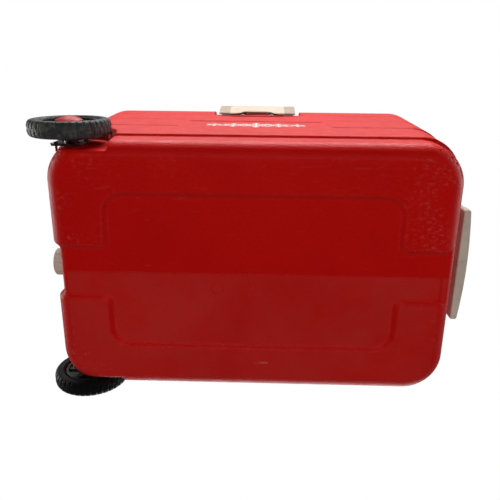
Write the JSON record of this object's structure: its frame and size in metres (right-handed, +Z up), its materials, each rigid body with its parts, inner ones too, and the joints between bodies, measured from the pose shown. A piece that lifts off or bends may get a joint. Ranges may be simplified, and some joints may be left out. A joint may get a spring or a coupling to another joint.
{
  "type": "wheeled cooler chest",
  "caption": "Insulated double-walled moulded cooler chest with hinged lid, front latch, two wheels, swinging tow handle and a screw-capped drain.",
  "frame": {"origin": "on the floor under the middle of the overall box, in the plane of the two moulded feet", "axes": "+Z up, +X along the chest from the wheels to the tow handle, -Y towards the front with the latch"},
  "size_m": [0.67, 0.446, 0.358],
  "materials": {
    "red_shell": "pebbled moulded polyethylene, scuffed",
    "white_liner": "smooth moulded liner",
    "foam": "rigid insulating foam",
    "grey_rubber": "soft seal",
    "cream_plastic": "aged cream moulding",
    "drain_cream": "aged beige moulding",
    "handle_cream": "aged grey-beige moulding",
    "steel": "zinc plated",
    "tyre": "blow-moulded black plastic tread",
    "black_plastic": "moulded",
    "bush_nylon": "natural nylon",
    "hub_red": "moulded cap"
  },
  "bodies": {
    "chest": {"outer_shell": "red_shell", "inner_liner": "white_liner", "body_foam": "foam", "drain_body": "cream_plastic", "drain_gasket": "grey_rubber", "hinge_body_leaves": "cream_plastic", "hinge_body_screws": "steel", "hinge_pins": "steel", "latch_keeper": "hub_red", "latch_keeper_screws": "steel", "tow_bracket_front": "handle_cream", "tow_bracket_back": "handle_cream", "tow_bracket_screws": "steel", "tow_pivot_pins": "steel", "axle_front": "steel", "axle_back": "steel", "axle_screws": "steel", "axle_washer_front": "steel", "axle_washer_back": "steel", "axle_retainer_front": "steel", "axle_retainer_back": "steel"},
    "lid": {"lid_shell": "red_shell", "lid_liner": "white_liner", "lid_foam": "foam", "lid_gasket": "grey_rubber", "hinge_lid_leaves": "cream_plastic", "hinge_lid_screws": "steel", "latch_bracket": "hub_red", "latch_bracket_screws": "steel", "latch_pin": "steel"},
    "latch": {"latch_lever": "cream_plastic"},
    "tow_handle": {"tow_handle": "handle_cream"},
    "wheel_front": {"tyre_front": "tyre", "rim_front": "black_plastic", "wheel_bush_front": "bush_nylon", "hub_cap_front": "hub_red"},
    "wheel_back": {"tyre_back": "tyre", "rim_back": "black_plastic", "wheel_bush_back": "bush_nylon", "hub_cap_back": "hub_red"},
    "drain_seal": {"drain_seal": "grey_rubber"},
    "drain_cap": {"drain_cap": "drain_cream"}
  },
  "joints": [
    {"name": "lid_hinge", "type": "hinge", "parent": "chest", "child": "lid", "pos_m": [0, 0.213, 0.287], "axis": [-1, 0, 0], "range_deg": [0, 100]},
    {"name": "latch_pivot", "type": "hinge", "parent": "lid", "child": "latch", "pos_m": [0, -0.212, 0.334], "axis": [-1, 0, 0], "range_deg": [0, 110]},
    {"name": "tow_handle_pivot", "type": "hinge", "parent": "chest", "child": "tow_handle", "pos_m": [0.326, 0, 0.215], "axis": [0, -1, 0], "range_deg": [0, 165]},
    {"name": "wheel_front_spin", "type": "hinge", "parent": "chest", "child": "wheel_front", "pos_m": [-0.2745, -0.207, 0.062], "axis": [0, 1, 0], "continuous": true},
    {"name": "wheel_back_spin", "type": "hinge", "parent": "chest", "child": "wheel_back", "pos_m": [-0.2745, 0.207, 0.062], "axis": [0, 1, 0], "continuous": true},
    {"name": "drain_cap_travel", "type": "slide", "parent": "chest", "child": "drain_seal", "axis": [-1, 0, 0], "range_m": [0, 0.0121]},
    {"name": "drain_cap_turn", "type": "hinge", "parent": "drain_seal", "child": "drain_cap", "pos_m": [-0.3, 0, 0.047], "axis": [-1, 0, 0], "range_deg": [0, 1080]}
  ],
  "couplings": [
    {"joint": "drain_cap_travel", "follows": "drain_cap_turn", "m_per_rad": 0.00063662}
  ]
}
